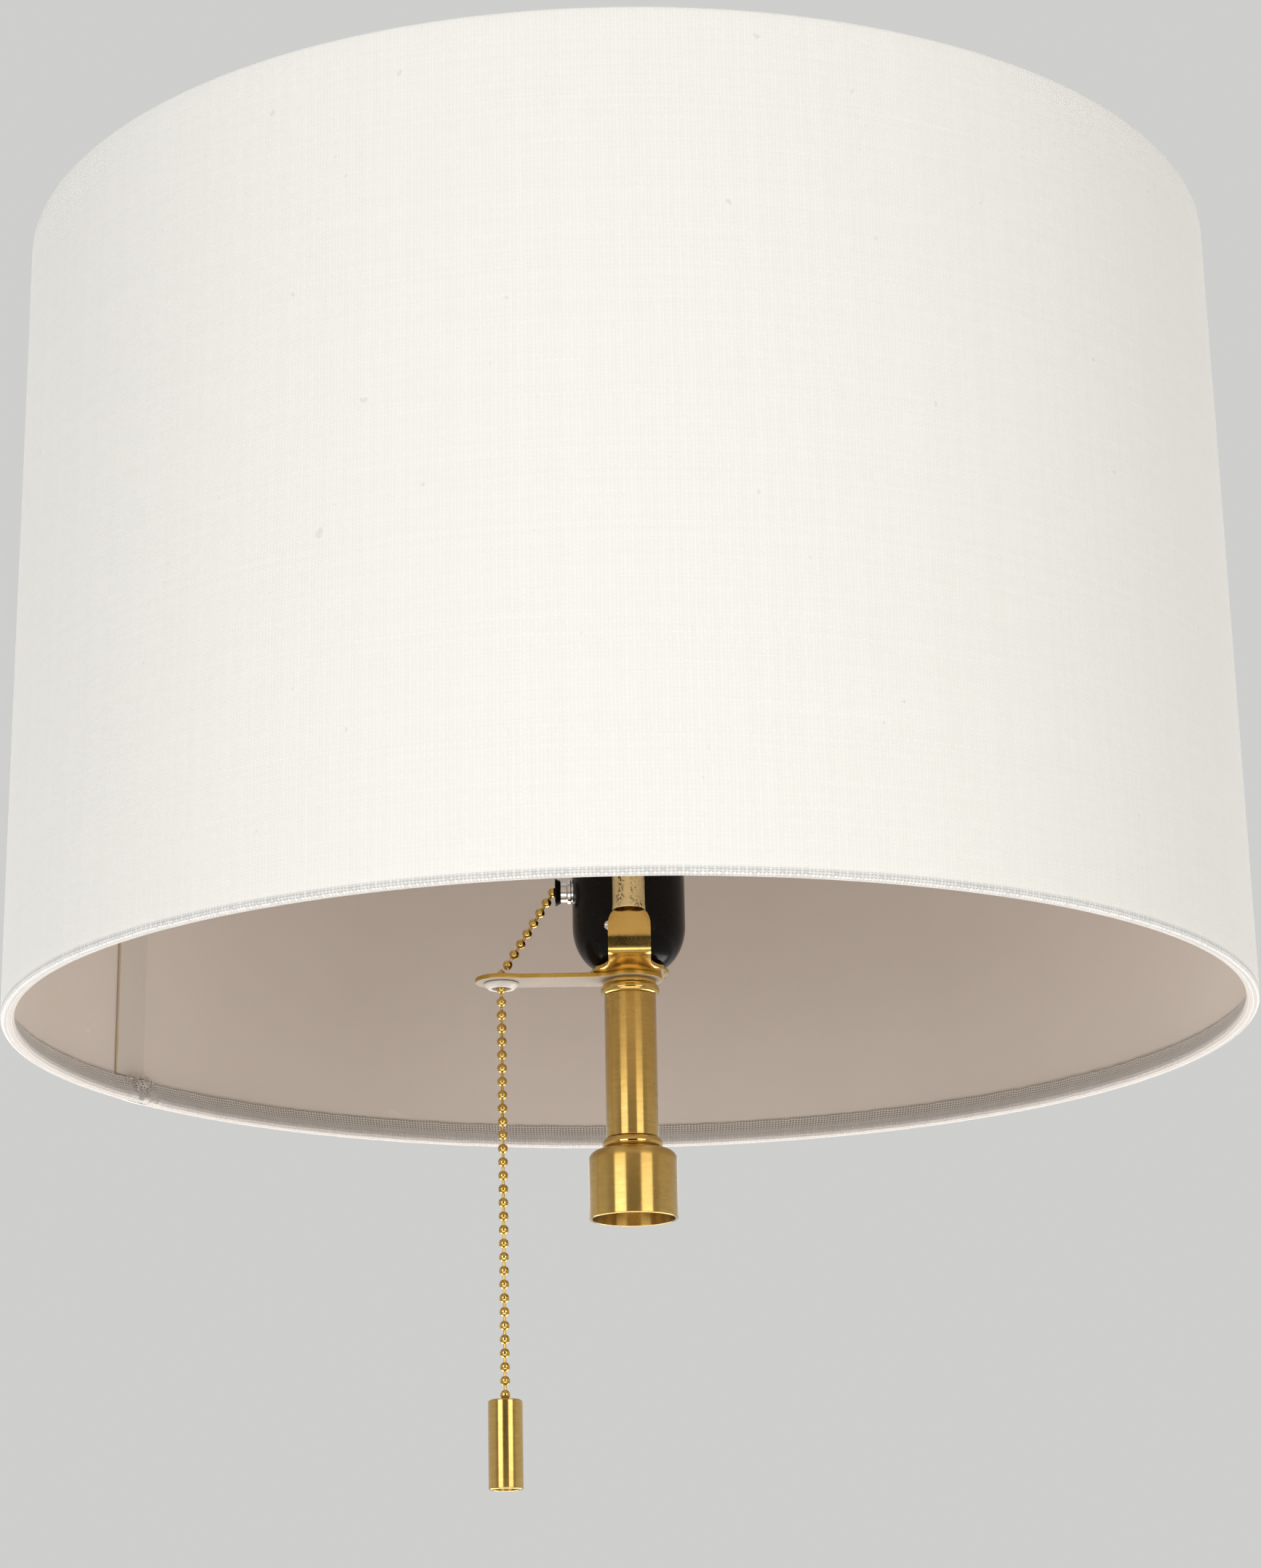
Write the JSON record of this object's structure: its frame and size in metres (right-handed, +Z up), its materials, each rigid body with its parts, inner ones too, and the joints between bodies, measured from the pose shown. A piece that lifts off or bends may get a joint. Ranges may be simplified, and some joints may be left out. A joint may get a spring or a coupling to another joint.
{
  "type": "lamp shade",
  "caption": "Slightly tapered drum lamp shade of off-white cloth on a wire frame, carried by its harp on a brass pull-chain lamp head that slips over a stand's pole.",
  "frame": {"origin": "middle of the collar's open lower end, where the pole enters", "axes": "+Z up along the pole, neck and shade axis; -X towards the chain arm; the harp lies in the YZ plane"},
  "size_m": [0.4, 0.3998, 0.4121],
  "materials": {
    "linen": "plain woven off-white linen-look cloth bonded to the liner",
    "hem_linen": "the same cloth, unbonded and turned over the ring",
    "liner": "matt warm grey-beige styrene sheet",
    "frame_wire": "white coated steel wire",
    "spider_steel": "plated steel",
    "satin_brass": "satin brushed brass, lacquered",
    "polished_brass": "polished brass with fine wear",
    "aged_brass": "pale brass plating, speckled with wear",
    "chain_brass": "bright rolled brass beads",
    "black_plastic": "glossy black moulded phenolic",
    "nickel": "nickel plated",
    "zinc_steel": "zinc plated steel",
    "eyelet_nylon": "translucent white nylon",
    "harp_plating": "brass plated steel wire"
  },
  "bodies": {
    "lamp_head": {"stand_collar": "satin_brass", "collar_nut": "zinc_steel", "lower_ring": "polished_brass", "neck_tube": "satin_brass", "upper_ring": "polished_brass", "lamp_pipe": "zinc_steel", "chain_arm": "polished_brass", "arm_eyelet": "eyelet_nylon", "harp_saddle": "polished_brass", "socket_cap": "black_plastic", "cap_set_screw": "nickel", "socket_shell": "black_plastic", "socket_core": "black_plastic", "terminal_screws": "zinc_steel", "screw_shell": "nickel", "centre_contact": "nickel", "switch_spout": "nickel", "spout_mouth": "black_plastic", "switch_yoke": "zinc_steel", "lever_pin": "zinc_steel", "lever_spring": "zinc_steel"},
    "harp": {"harp_bow": "harp_plating", "harp_stud": "harp_plating"},
    "ferrule_front": {"ferrule_front": "aged_brass"},
    "ferrule_back": {"ferrule_back": "aged_brass"},
    "shade": {"shade_cover": "linen", "shade_liner": "liner", "side_seam": "liner", "top_ring": "frame_wire", "bottom_ring": "frame_wire", "top_hem": "hem_linen", "bottom_hem": "hem_linen", "spider_hub": "spider_steel", "spider_arm_1": "spider_steel", "spider_arm_2": "spider_steel", "spider_arm_3": "spider_steel"},
    "finial": {"finial": "satin_brass"},
    "pull_chain": {"chain_eyelet_beads": "chain_brass"},
    "chain_gimbal": {"chain_gimbal_bead": "chain_brass"},
    "hanging_chain": {"chain_hanging_run": "chain_brass"},
    "pull_bell": {"pull_bell": "satin_brass"},
    "entry_bead": {"chain_entry_bead": "chain_brass"},
    "upper_chain": {"chain_upper_run": "chain_brass"},
    "turn_bead": {"chain_turn_bead": "chain_brass"},
    "inner_chain": {"chain_inner_run": "chain_brass"},
    "switch_lever": {"switch_lever": "zinc_steel"}
  },
  "joints": [
    {"name": "harp_lift", "type": "slide", "parent": "lamp_head", "child": "harp", "axis": [0, 0, 1], "range_m": [0, 0.03]},
    {"name": "ferrule_front_lift", "type": "slide", "parent": "harp", "child": "ferrule_front", "axis": [0, 0, 1], "range_m": [0, 0.016]},
    {"name": "ferrule_back_lift", "type": "slide", "parent": "harp", "child": "ferrule_back", "axis": [0, 0, 1], "range_m": [0, 0.016]},
    {"name": "shade_turn", "type": "hinge", "parent": "harp", "child": "shade", "pos_m": [0, 0, 0.2993], "axis": [0, 0, 1], "continuous": true},
    {"name": "finial_unscrew", "type": "slide", "parent": "harp", "child": "finial", "axis": [0, 0, 1], "range_m": [0, 0.014]},
    {"name": "chain_pull", "type": "slide", "parent": "lamp_head", "child": "pull_chain", "axis": [0, 0, -1], "range_m": [0, 0.00872], "stiffness_N_per_m": 250, "springref_m": -0.004},
    {"name": "chain_swing_side", "type": "hinge", "parent": "pull_chain", "child": "chain_gimbal", "pos_m": [-0.0414, 0, 0.07579], "axis": [0, 1, 0], "range_deg": [-8, 30]},
    {"name": "chain_swing_fore", "type": "hinge", "parent": "chain_gimbal", "child": "hanging_chain", "pos_m": [-0.0414, 0, 0.07143], "axis": [1, 0, 0], "range_deg": [-30, 30]},
    {"name": "bell_rock", "type": "hinge", "parent": "hanging_chain", "child": "pull_bell", "pos_m": [-0.0414, 0, -0.05941], "axis": [1, 0, 0], "range_deg": [-8, 8]},
    {"name": "entry_bead_slide", "type": "slide", "parent": "lamp_head", "child": "entry_bead", "axis": [-0.2648, 0, -0.9643], "range_m": [0, 0.00812]},
    {"name": "upper_chain_slide", "type": "slide", "parent": "lamp_head", "child": "upper_chain", "axis": [-0.5279, 0, -0.8493], "range_m": [0, 0.00806]},
    {"name": "turn_bead_slide", "type": "slide", "parent": "lamp_head", "child": "turn_bead", "axis": [-0.874, 0, -0.4858], "range_m": [0, 0.00705]},
    {"name": "inner_chain_slide", "type": "slide", "parent": "lamp_head", "child": "inner_chain", "axis": [-1, 0, 0], "range_m": [0, 0.00806]},
    {"name": "switch_lever_turn", "type": "hinge", "parent": "lamp_head", "child": "switch_lever", "pos_m": [0, 0, 0.09615], "axis": [0, -1, 0], "range_deg": [0, 38.59]}
  ],
  "couplings": [
    {"joint": "entry_bead_slide", "follows": "chain_pull", "ratio": 0.92887},
    {"joint": "upper_chain_slide", "follows": "chain_pull", "ratio": 0.92202},
    {"joint": "turn_bead_slide", "follows": "chain_pull", "ratio": 0.80588},
    {"joint": "inner_chain_slide", "follows": "chain_pull", "ratio": 0.92202},
    {"joint": "switch_lever_turn", "follows": "chain_pull", "rad_per_m": 76.835}
  ]
}
